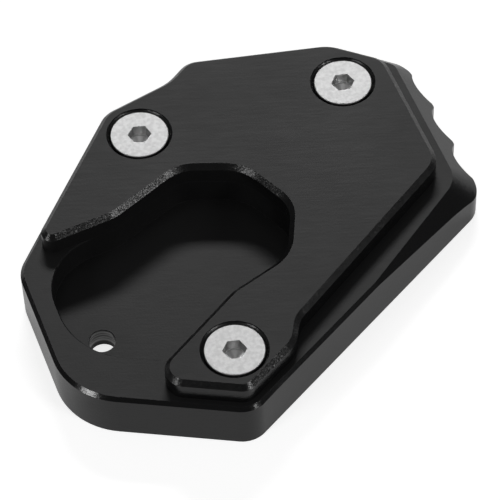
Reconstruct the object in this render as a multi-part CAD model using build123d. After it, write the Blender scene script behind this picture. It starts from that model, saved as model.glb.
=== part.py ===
from build123d import *
from collections import namedtuple
import math
import os

# Kickstand pad: a wide foot that bolts round the foot of a motorcycle's side stand.
# The base plate lies on the ground and has a pocket that the stand's own foot drops into.
# The clamp plate is C-shaped, overhangs that foot and is held down by three countersunk screws.
#
# Lengths are in millimetres. In plan +X points to the scalloped rear edge and +Y runs along it.
# A straight edge has a direction of travel in degrees, a distance from the drawing's centre,
# measured to the left of travel, and the radius of the corner where the edge begins.
# Outlines run clockwise, so left is outward, and the notch's edges have distances below zero.
Edge = namedtuple("Edge", "direction distance corner")

# Plates
base_thickness = 10.9
clamp_thickness = 4.7
base_chamfer = 0.75
clamp_chamfer = 1.05

# Straight edges of the base plate that stand clear of the clamp plate
left_side = Edge(90.0, 44.3, corner=15.4)
rear_side = Edge(-90.0, 52.1, corner=0)
long_side = Edge(-149.65, 23.2, corner=6.0)
front_side = Edge(152.95, 35.55, corner=5.6)
base_left_corner = 8.0

# Outer edges of the clamp plate, from its left tip round to the end of its arm
slant = Edge(48.3, 41.7, corner=2.2)
shoulder = Edge(12.75, 47.6, corner=6.3)
step = Edge(34.85, 40.2, corner=10.0)
back = Edge(-12.35, 52.5, corner=4.8)
far = Edge(-40.55, 57.7, corner=8.7)
rear = Edge(-90.0, 44.35, corner=5.3)
long = Edge(-146.8, 17.9, corner=6.2)
waist = Edge(-115.75, 11.25, corner=6.5)
arm_side_corner = 7.1
arm_front_corner = 3.0
arm_end = Edge(115.35, 33.05, corner=3.4)

# Edges of the notch in the clamp plate, where the stand's leg comes through
notch_arm = Edge(32.2, -3.15, corner=4.1)
notch_bend = Edge(18.05, -5.4, corner=5.6)
notch_rear = Edge(66.35, -7.55, corner=9.0)
notch_far = Edge(114.75, -14.2, corner=7.5)
notch_back = Edge(159.1, -21.6, corner=10.2)
notch_slant = Edge(-156.65, -25.75, corner=8.2)
notch_left = Edge(-174.4, -20.55, corner=7.9)
left_tip = Edge(91.75, 37.0, corner=2.2)

# Strips of the base plate outside the clamp plate's edges
hidden_margin = 1.7
front_margin = 1.85
far_margin = 5.0

# Bevel round the rear of the base plate: its slope below level, and where it leaves the top face
bevel_slope = 45.0
bevel_far_margin = 2.6
bevel_rear_reach = 47.1
bevel_far_corner = 2.5
bevel_side = Edge(-143.85, 23.55, corner=7.0)

# Finger scallops in the rear edge: round hollows with a flat tip between one and the next
scallop_count = 3
scallop_pitch = 11.0
scallop_tip_width = 1.1
scallop_depth = 2.05
scallop_start_gap = 0.8
scallop_tip_radius = 0.9
scallop_end_radius = 1.6

# Pocket for the stand's foot, with a drain hole
pocket_depth = 6.0
pocket_left_wall = 4.6
pocket_left_corner = 13.0
pocket_front_wall = 10.25
pocket_front_left_corner = 16.0
pocket_front_corner = 5.0
pocket_rim_chamfer = 0.2
drain_diameter = 5.5
drain_centre = (-32.9, -2.9)

# Countersunk screws with hexagon sockets, each tightened to a stop of its own
screw_centres = {"left": (-10.75, 36.9), "rear": (33.6, 34.8), "front": (-11.25, -21.8)}
socket_turns = {"left": -17.0, "rear": -11.0, "front": -14.0}
shank_diameter = 6.0
head_diameter = 12.0
head_angle = 90.0
head_land = 1.05
head_recess = 0.15
head_edge_chamfer = 0.1
countersink_entry = 0.35
socket_width = 4.3
socket_depth = 2.8
socket_drill_diameter = 4.0
drill_point_angle = 120.0
point_chamfer = 0.6
point_above_ground = 1.3
shank_clearance = 0.3
thread_clearance = 0.05
seat_clearance = 0.02


def turn(previous, edge):
    """Change of direction from one edge to the next, in degrees, positive to the left."""
    return (edge.direction - previous.direction + 180) % 360 - 180


def moved_out(edges, by):
    """Moves a chain of edges to the left together; right-hand corners grow and left-hand ones shrink."""
    moved = []
    for i, edge in enumerate(edges):
        growth = by if turn(edges[i - 1], edge) < 0 else -by
        corner = edge.corner + growth if edge.corner else 0
        moved.append(Edge(edge.direction, edge.distance + by, corner))
    return moved


def facing(edge, gap, corner):
    """The edge of a hollow that runs beside an outer edge, the gap inside it, and looks the other way."""
    return Edge(edge.direction + 180, gap - edge.distance, corner)


def meet(first, second):
    """The point where two straight edges cross."""
    a, b = math.radians(first.direction), math.radians(second.direction)
    spread = math.sin(b - a)
    x = (first.distance * math.cos(b) - second.distance * math.cos(a)) / spread
    y = (first.distance * math.sin(b) - second.distance * math.sin(a)) / spread
    return x, y


def rounded(face, corner, radius):
    """Rounds the corner of the face that lies nearest to the point."""
    return fillet(face.vertices().sort_by_distance(Vector(*corner))[0], radius)


def outline(edges):
    """The face that the edges bound in turn, with its corners rounded."""
    corners = [meet(edges[i - 1], edge) for i, edge in enumerate(edges)]
    face = make_face(Polyline(*corners, close=True))
    for corner, edge in zip(corners, edges):
        if edge.corner:
            face = rounded(face, corner, edge.corner)
    return face


def clamp_edges():
    """The clamp plate: outer edges from the left tip to the end of the arm, then back along the notch."""
    arm_side, arm_front = moved_out([long_side, front_side], -front_margin)
    outer = [slant, shoulder, step, back, far, rear, long, waist,
             arm_side._replace(corner=arm_side_corner), arm_front._replace(corner=arm_front_corner), arm_end]
    notch = [notch_arm, notch_bend, notch_rear, notch_far, notch_back, notch_slant, notch_left]
    return [*outer, *notch, left_tip]


def base_edges():
    """The base plate: it follows the clamp plate under the slant, shoulder, step and back."""
    first, *followed = moved_out([slant, shoulder, step, back], hidden_margin)
    first = first._replace(corner=base_left_corner)
    widened = moved_out([back, far], far_margin)[1]
    return [left_side, first, *followed, widened, rear_side, long_side, front_side]


def scalloped(face):
    """Cuts the finger scallops into the rear edge, from the side corner on, and rounds their tips."""
    reach, corner_y = meet(rear_side, long_side)
    corner_length = long_side.corner * math.tan(math.radians(-turn(rear_side, long_side)) / 2)
    start = corner_y + corner_length + scallop_start_gap
    half_width = (scallop_pitch - scallop_tip_width) / 2
    radius = (half_width ** 2 + scallop_depth ** 2) / (2 * scallop_depth)
    middles = [start + half_width + scallop_pitch * i for i in range(scallop_count)]
    for y in middles:
        face -= Pos(reach - scallop_depth + radius, y) * Circle(radius)
    tips = [(reach, y + side * half_width) for y in middles for side in (-1, 1)]
    for tip in tips[:-1]:
        face = rounded(face, tip, scallop_tip_radius)
    return rounded(face, tips[-1], scallop_end_radius)


def base_top_edges():
    """The base plate's flat top: inside the chamfer, and cut back to the bevel at the rear."""
    *covered, _, _, side, front = moved_out(base_edges(), -base_chamfer)
    bevel_far = moved_out([back, far], bevel_far_margin)[1]
    bevel_rear = Edge(rear_side.direction, bevel_rear_reach, bevel_far_corner)
    return [*covered, bevel_far, bevel_rear, bevel_side, side._replace(corner=0), front]


def pocket_edges():
    """The pocket: flush with the notch above it, and closed by rounded corners at the left."""
    left = facing(left_side, pocket_left_wall, pocket_left_corner)
    front = facing(front_side, pocket_front_wall, pocket_front_left_corner)
    return [left, front, notch_arm._replace(corner=pocket_front_corner), notch_bend, notch_rear, notch_far,
            notch_back, notch_slant, notch_left]


def open_rim():
    """The chamfer round the pocket's mouth, left out where the clamp plate covers the rim."""
    flare = extrude(Pos(0, 0, base_thickness - pocket_rim_chamfer) * outline(pocket_edges()),
                    pocket_rim_chamfer, taper=-45)
    return flare - extrude(outline(clamp_edges()), base_thickness)


def cylinder_at(centre, bottom, top, radius):
    """An upright cylinder between two heights."""
    return extrude(Pos(*centre, bottom) * Circle(radius), top - bottom)


def base_plate():
    """One draughted solid makes the bevel and the chamfer; the pocket and the holes are cut from it."""
    blank = extrude(scalloped(outline(base_edges())), base_thickness)
    top_face = Pos(0, 0, base_thickness) * outline(base_top_edges())
    plate = blank & extrude(top_face, -base_thickness, taper=bevel_slope - 90)
    floor = base_thickness - pocket_depth
    plate -= extrude(Pos(0, 0, floor) * outline(pocket_edges()), pocket_depth)
    plate -= open_rim()
    plate -= cylinder_at(drain_centre, 0, floor, drain_diameter / 2)
    for centre in screw_centres.values():
        plate -= cylinder_at(centre, 0, base_thickness, shank_diameter / 2 + thread_clearance)
    return plate


def cone_height(wide, narrow):
    """Height of a cone at the screw head's angle between two radii."""
    return (wide - narrow) / math.tan(math.radians(head_angle / 2))


def countersink(top, bottom):
    """Screw hole through the clamp plate: an upright mouth, a cone that seats the head, and a bore."""
    seat = head_diameter / 2 + seat_clearance
    seat_depth = head_recess + head_land
    mouth = seat + (seat_depth - countersink_entry) * math.tan(math.radians(head_angle / 2))
    bore = shank_diameter / 2 + shank_clearance
    shoulder_height = top - countersink_entry
    neck = shoulder_height - cone_height(mouth, bore)
    profile = Polyline((0, top), (mouth, top), (mouth, shoulder_height), (bore, neck), (bore, bottom),
                       (0, bottom), close=True)
    return revolve(Plane.XZ * make_face(profile), Axis.Z)


def clamp_plate():
    """C-shaped plate with a chamfer all round its top and three countersunk holes."""
    bottom, top = base_thickness, base_thickness + clamp_thickness
    plate = extrude(Pos(0, 0, bottom) * outline(clamp_edges()), clamp_thickness)
    rim = plate.faces().sort_by(Axis.Z)[-1].outer_wire()
    plate = chamfer(rim.edges(), clamp_chamfer)
    for centre in screw_centres.values():
        plate -= Pos(*centre) * countersink(top, bottom)
    return plate


def screw_socket(turn_angle):
    """Hexagon socket sunk from height zero, with the drill's point below it."""
    hexagon = RegularPolygon(socket_width / 2, 6, major_radius=False, rotation=turn_angle)
    drill = socket_drill_diameter / 2
    point_depth = drill / math.tan(math.radians(drill_point_angle / 2))
    point = Pos(0, 0, -socket_depth - point_depth / 2) * Cone(0, drill, point_depth)
    return extrude(hexagon, -socket_depth) + point


def clamp_screw(centre, turn_angle):
    """Countersunk screw turned from one profile, sunk a little below the clamp plate's face."""
    top = base_thickness + clamp_thickness - head_recess
    head, shank = head_diameter / 2, shank_diameter / 2
    cone_top = top - head_land
    cone_bottom = cone_top - cone_height(head, shank)
    end = point_above_ground
    profile = Polyline(
        (0, top), (head - head_edge_chamfer, top), (head, top - head_edge_chamfer), (head, cone_top),
        (shank, cone_bottom), (shank, end + point_chamfer), (shank - point_chamfer, end), (0, end), close=True)
    turned = revolve(Plane.XZ * make_face(profile), Axis.Z)
    return Pos(*centre) * (turned - Pos(0, 0, top) * screw_socket(turn_angle))


def write_parts():
    """Puts the origin at the bottom centre of the base plate and writes one file for each piece."""
    pieces = {"base_plate": base_plate(), "clamp_plate": clamp_plate()}
    for name, centre in screw_centres.items():
        pieces[f"clamp_screw_{name}"] = clamp_screw(centre, socket_turns[name])
    middle = pieces["base_plate"].bounding_box().center()
    os.makedirs("parts", exist_ok=True)
    for name, piece in pieces.items():
        export_step(Pos(-middle.X, -middle.Y, 0) * piece, f"parts/{name}.step")


write_parts()
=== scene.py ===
import math

import bpy
from mathutils import Matrix, Vector

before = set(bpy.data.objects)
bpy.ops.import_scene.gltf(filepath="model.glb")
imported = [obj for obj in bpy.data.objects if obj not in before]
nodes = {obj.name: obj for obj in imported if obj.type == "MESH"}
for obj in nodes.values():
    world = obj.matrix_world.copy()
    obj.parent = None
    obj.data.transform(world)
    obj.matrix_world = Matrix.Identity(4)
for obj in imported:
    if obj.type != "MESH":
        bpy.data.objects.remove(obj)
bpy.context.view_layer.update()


# The photograph's camera looks down on the pad from its front left, from about half a metre.
# It is placed by the straight edges of both plates and the rings of the three screws.
view_turn = math.radians(18.5)
view_elevation = math.radians(52.147)
view_roll = math.radians(-2.285)
view_distance = 0.558041
aim = Vector((-0.0039, -0.010452, 0.0156))
focal_in_frames = 2792.26 / 500

right = Vector((math.cos(view_turn), -math.sin(view_turn), 0))
forward = Vector((math.cos(view_elevation) * math.sin(view_turn),
                  math.cos(view_elevation) * math.cos(view_turn), -math.sin(view_elevation)))
up = right.cross(forward)
camera_x = right * math.cos(view_roll) + up * math.sin(view_roll)
camera_y = up * math.cos(view_roll) - right * math.sin(view_roll)
camera_data = bpy.data.cameras.new("camera")
camera_data.sensor_width = 36
camera_data.lens = camera_data.sensor_width * focal_in_frames
camera_data.clip_start = 0.01
camera_data.clip_end = 20
camera = bpy.data.objects.new("camera", camera_data)
bpy.context.scene.collection.objects.link(camera)
camera.matrix_world = Matrix.Translation(aim - forward * view_distance) @ Matrix(
    (camera_x, camera_y, -forward)).transposed().to_4x4()
bpy.context.scene.camera = camera
bpy.context.scene.view_settings.view_transform = "Standard"


# The base plate is milled from aluminium plate, blasted with fine beads, dyed black and sealed.
# The dye has almost no light of its own, so a face is as bright as what it mirrors: tops and
# pocket are satin, while walls and chamfers are smoother. The drain hole was drilled last.
class Value:
    """A socket that takes part in Python arithmetic: each operator adds one Math node."""

    def __init__(self, graph, socket):
        self.graph = graph
        self.socket = socket

    def maths(self, operation, *others):
        inputs = dict(enumerate([self, *others]))
        return self.graph.node("ShaderNodeMath", {"operation": operation}, inputs)

    def __add__(self, other):
        return self.maths("ADD", other)

    def __sub__(self, other):
        return self.maths("SUBTRACT", other)

    def __rsub__(self, other):
        return self * -1 + other

    def __mul__(self, other):
        return self.maths("MULTIPLY", other)

    def __lt__(self, other):
        return self.maths("LESS_THAN", other)

    def __gt__(self, other):
        return self.maths("GREATER_THAN", other)

    __radd__ = __add__
    __rmul__ = __mul__


class Graph:
    """A node tree, built by the type, the settings and the inputs of each node."""

    def __init__(self, owner):
        owner.use_nodes = True
        self.tree = owner.node_tree

    def feed(self, socket, value):
        if isinstance(value, Value):
            self.tree.links.new(value.socket, socket)
        else:
            socket.default_value = value

    def node(self, kind, settings=None, inputs=None, output=0):
        made = self.tree.nodes.new(kind)
        for key, value in (settings or {}).items():
            setattr(made, key, value)
        for key, value in (inputs or {}).items():
            self.feed(made.inputs[key], value)
        return Value(self, made.outputs[output])

    def rise(self, value, low, high, start=0.0, end=1.0):
        """A smooth step from start to end while the value goes from low to high."""
        return self.node("ShaderNodeMapRange", {"interpolation_type": "SMOOTHSTEP"},
                         {"Value": value, "From Min": low, "From Max": high,
                          "To Min": start, "To Max": end})


class Finish(Graph):
    """A material with one Principled shader, whose inputs are fed by name."""

    def __init__(self, name, inputs):
        self.data = bpy.data.materials.new(name)
        super().__init__(self.data)
        self.shader = self.tree.nodes["Principled BSDF"]
        self.set(inputs)

    def set(self, inputs):
        for key, value in inputs.items():
            self.feed(self.shader.inputs[key], value)

    def give(self, piece):
        piece.data.materials.clear()
        piece.data.materials.append(self.data)

    def place(self):
        return self.node("ShaderNodeTexCoord", output="Object")

    def height(self):
        return self.node("ShaderNodeSeparateXYZ", inputs={0: self.place()}, output="Z")

    def upward(self):
        """How far the surface faces up: 1 on a top, about 0.7 on a chamfer and 0 on a wall."""
        normal = self.node("ShaderNodeTexCoord", output="Normal")
        return self.node("ShaderNodeSeparateXYZ", inputs={0: normal}, output="Z")

    def vector(self, operation, first, second, output="Vector"):
        return self.node("ShaderNodeVectorMath", {"operation": operation},
                         {0: first, 1: second}, output)

    def noise(self, size, detail=2.0, stretch=(1, 1, 1), turn=0.0):
        """Noise from 0 to 1 with grains of about the size, in metres, drawn out by the stretch."""
        turned = self.node("ShaderNodeVectorRotate", {"rotation_type": "Z_AXIS"},
                           {0: self.place(), "Angle": turn})
        drawn_out = self.vector("DIVIDE", turned, stretch)
        return self.node("ShaderNodeTexNoise",
                         inputs={"Vector": drawn_out, "Scale": 1 / size, "Detail": detail})

    def cells(self, size, output):
        """Irregular cells of about the size, in metres: each one's Color, or the Distance."""
        return self.node("ShaderNodeTexVoronoi",
                         inputs={"Vector": self.place(), "Scale": 1 / size}, output=output)

    def mix(self, factor, first, second):
        return self.node("ShaderNodeMix", {"data_type": "RGBA"},
                         {"Factor": factor, 6: first, 7: second}, 2)

    def bump(self, height, depth):
        """The surface's direction when the height, from 0 to 1, stands for this depth in metres."""
        return self.node("ShaderNodeBump", inputs={"Height": height, "Distance": depth})


def anodised(name, dent_slope, chamfer_roughness, toe=None, drain_axis=None):
    """Black anodised aluminium. The beads' dents make chamfers lean by up to half the slope.

    The stand has rubbed the pocket's rim dull round the toe, and the drain hole's wall is bare but
    for its bottom and top, left black as painted shade.
    """
    finish = Finish(name, {"IOR": 1.45})
    upward = finish.upward()
    facing_up = finish.rise(upward, 0.9, 0.98)
    sloping = finish.rise(upward, 0.5, 0.66) * finish.rise(upward, 0.76, 0.9, 1, 0)

    # The dye is black and sealed, a little worn off sharp edges, with a few specks of dust.
    black = (0.006, 0.006, 0.0063, 1)
    worn = (0.03, 0.03, 0.032, 1)
    dust = (0.22, 0.22, 0.21, 1)
    edge_radius = 0.00012
    wear_size = 0.0012
    dust_spacing = 0.006
    dust_radius = 0.00012
    clean_share = 0.8
    rounded = finish.node("ShaderNodeBevel", {"samples": 4}, {"Radius": edge_radius})
    flat = finish.node("ShaderNodeNewGeometry", output="Normal")
    sharpness = 1 - finish.vector("DOT_PRODUCT", rounded, flat, "Value")
    wear = finish.rise(sharpness * finish.noise(wear_size), 0.01, 0.09)
    chosen = finish.node("ShaderNodeSeparateColor",
                         inputs={0: finish.cells(dust_spacing, "Color")}) > clean_share
    speck = (finish.cells(dust_spacing, "Distance") < dust_radius / dust_spacing) * chosen
    colour = finish.mix(speck, finish.mix(wear, black, worn), dust)

    # Blasting leaves a fine grain, and wiping leaves faint streaks across it.
    grain_size = 0.0005
    streak_width = 0.00035
    streak_angle = math.radians(18)
    streak_relief = 0.7
    relief_depth = 0.000018
    streak = finish.noise(streak_width, stretch=(14, 1, 1), turn=streak_angle)
    relief = finish.noise(grain_size, detail=3) + streak * streak_relief

    # The drill has left bare metal and turning lines on the drain hole's wall; its bottom and top
    # are left dyed black as painted shade.
    drilled_outside_painted_shade = 0
    if drain_axis:
        drill_radius = 0.0029
        painted_shade_below, painted_shade_above = 0.0012, 0.0046
        turning_width = 0.00025
        turning_relief = 3
        bare_groove = (0.06, 0.06, 0.06, 1)
        bare_ridge = (0.2, 0.2, 0.2, 1)
        plan = finish.vector("MULTIPLY", finish.place(), (1, 1, 0))
        off_axis = finish.vector("DISTANCE", plan, drain_axis, "Value")
        height = finish.height()
        # Painted shade: the bare metal stops short of the wall's bottom and top, which stay black.
        between_painted_shade = (height > painted_shade_below) * (height < painted_shade_above)
        drilled_outside_painted_shade = (off_axis < drill_radius) * (1 - facing_up) * between_painted_shade
        turning = finish.noise(turning_width, stretch=(30, 30, 1))
        bare = finish.mix(finish.rise(turning, 0.35, 0.65), bare_groove, bare_ridge)
        colour = finish.mix(drilled_outside_painted_shade, colour, bare)
        relief = relief + turning * drilled_outside_painted_shade * turning_relief
        finish.set({"Metallic": drilled_outside_painted_shade})

    # The cutter has left the pocket's wall as satin as the tops. Patches and streaks add a little
    # to the roughness of the smooth walls, and the satin and the rubbed rim add much.
    pocket_middle = (-0.0195, -0.005, 0.008)
    pocket_reach = 0.026
    toe_reach = 0.010
    patch_size = 0.02
    smooth_roughness = 0.10
    patch_roughness = 0.06
    streak_roughness = 0.10
    satin_roughness = 0.37
    rubbed_roughness = 0.4
    rubbed = 0
    if toe:
        from_toe = finish.vector("DISTANCE", finish.place(), toe, "Value")
        rubbed = finish.rise(from_toe, toe_reach - 0.002, toe_reach, 1, 0)
    from_pocket = finish.vector("DISTANCE", finish.place(), pocket_middle, "Value")
    in_pocket = finish.rise(from_pocket, pocket_reach, pocket_reach + 0.001, 1, 0)
    satin = facing_up.maths("MAXIMUM", in_pocket * (1 - sloping * (1 - rubbed)) * (1 - drilled_outside_painted_shade))
    roughness = (smooth_roughness + finish.noise(patch_size, detail=4) * patch_roughness
                 + streak * streak_roughness + satin * satin_roughness
                 + sloping * (rubbed * rubbed_roughness + chamfer_roughness))

    # Each dent is a small facet that leans its own way.
    dent_size = 0.00017
    mean_colour = (0.5, 0.5, 0.5)
    lean = finish.vector("SUBTRACT", finish.cells(dent_size, "Color"), mean_colour)
    lean = finish.node("ShaderNodeVectorMath", {"operation": "SCALE"},
                       {0: lean, "Scale": sloping * dent_slope})
    leaning = finish.vector("ADD", finish.bump(relief, relief_depth), lean)
    normal = finish.node("ShaderNodeVectorMath", {"operation": "NORMALIZE"}, {0: leaning})
    finish.set({"Base Color": colour, "Roughness": roughness, "Normal": normal})
    return finish


anodised("black_anodised_base", dent_slope=0.01, chamfer_roughness=0.0,
         toe=(-0.033, 0.009, 0.0108),
         drain_axis=(-0.0368, -0.013352, 0)).give(nodes["base_plate"])


# The clamp plate has the same finish as the base plate. Its wide chamfers were milled before the
# blasting, so the beads have left them rough, and they glitter under the lamps.
anodised("black_anodised_clamp", dent_slope=0.17, chamfer_roughness=0.11).give(nodes["clamp_plate"])


# Three countersunk screws of stainless steel hold the clamp plate. They are cold formed and then
# tumbled, which leaves a mottled satin face. Their sockets hold painted shade on the walls and a
# painted highlight at the drill point.
pale = (0.77, 0.77, 0.77, 1)
dull = (0.65, 0.65, 0.65, 1)
painted_shade_socket_grey = (0.55, 0.55, 0.55, 1)
painted_light_drill_white = (1, 1, 1, 1)
face_height = 0.0153
point_height = 0.0126
mottle_size = 0.0008
pit_size = 0.0003
pit_relief = 0.5
steel_relief_depth = 0.000005
face_roughness = 0.58
pit_roughness = 0.08
socket_smoothness = 0.3
for name in ("clamp_screw_left", "clamp_screw_rear", "clamp_screw_front"):
    steel = Finish(name + "_steel", {"Metallic": 1})
    mottle = steel.noise(mottle_size, detail=5)
    pits = steel.noise(pit_size, detail=3)
    height = steel.height()
    inside = steel.rise(height, face_height - 0.0003, face_height, 1, 0)
    face = steel.mix(steel.rise(mottle, 0.3, 0.7), dull, pale)
    # Painted light and shade in the socket by height: grey walls, white at the drill point.
    socket = steel.mix(steel.rise(height, point_height, point_height + 0.0006, 1, 0),
                       painted_shade_socket_grey, painted_light_drill_white)
    steel.set({"Base Color": steel.mix(inside, face, socket),
               "Roughness": face_roughness + pits * pit_roughness - inside * socket_smoothness,
               "Normal": steel.bump(mottle + pits * pit_relief, steel_relief_depth)})
    steel.give(nodes[name])


# The pad lies on a white table. The camera and the pad's own reflections see the table as
# evenly white, and the pad's shadow lies on it.
table_size = 6
grey = (0.6, 0.6, 0.6, 1)
black = (0, 0, 0, 1)
glow = (0.78, 0.78, 0.78, 1)
mirrored_share = 0.42
bpy.ops.object.select_all(action="DESELECT")
bpy.ops.mesh.primitive_plane_add(size=table_size, location=(0, 0, 0))
table = bpy.context.object
table.name = "table"
table_white = Finish("table_white", {"Base Color": grey, "Roughness": 1,
                                     "Specular IOR Level": 0, "Emission Strength": 1})
path = table_white.node("ShaderNodeLightPath").socket.node.outputs
seen, mirrored, through = (Value(table_white, path[key]) for key in
                           ("Is Camera Ray", "Is Glossy Ray", "Is Transmission Ray"))
shown = seen.maths("MAXIMUM", through.maths("MAXIMUM", mirrored * mirrored_share))
table_white.set({"Emission Color": table_white.mix(shown, black, glow)})
table_white.give(table)


# Studio light: a wide softbox stands low behind the pad and a smaller one on each side of the
# camera, in a dark room whose ceiling throws back a little of their light.
def towards(azimuth, elevation):
    """The unit vector towards a bearing clockwise from +Y and a height above level, in degrees."""
    a, e = math.radians(azimuth), math.radians(elevation)
    return Vector((math.sin(a) * math.cos(e), math.cos(a) * math.cos(e), math.sin(e)))


softbox_distance = 5
softbox_height = 0.55
for name, azimuth, elevation, width, power in (
        ("softbox_back", 18.5, 39.5, 1.8, 86), ("softbox_left", -108, 29, 1.3, 45),
        ("softbox_right", 141, 28, 1.3, 55)):
    lamp = bpy.data.lights.new(name, "AREA")
    lamp.shape = "RECTANGLE"
    lamp.size = width
    lamp.size_y = softbox_height
    lamp.energy = power
    softbox = bpy.data.objects.new(name, lamp)
    bpy.context.scene.collection.objects.link(softbox)
    direction = towards(azimuth, elevation)
    softbox.location = direction * softbox_distance
    softbox.rotation_euler = direction.to_track_quat("Z", "Y").to_euler()

room_strength = 0.08
ceiling_strength = 0.4
world = bpy.data.worlds.new("studio")
bpy.context.scene.world = world
studio = Graph(world)
sky = studio.node("ShaderNodeTexCoord")
upwards = studio.node("ShaderNodeSeparateXYZ", inputs={0: sky}, output="Z")
background = studio.tree.nodes["Background"]
background.inputs["Color"].default_value = (1, 1, 1, 1)
studio.feed(background.inputs["Strength"],
            studio.rise(upwards, 0.9, 0.97, room_strength, ceiling_strength))
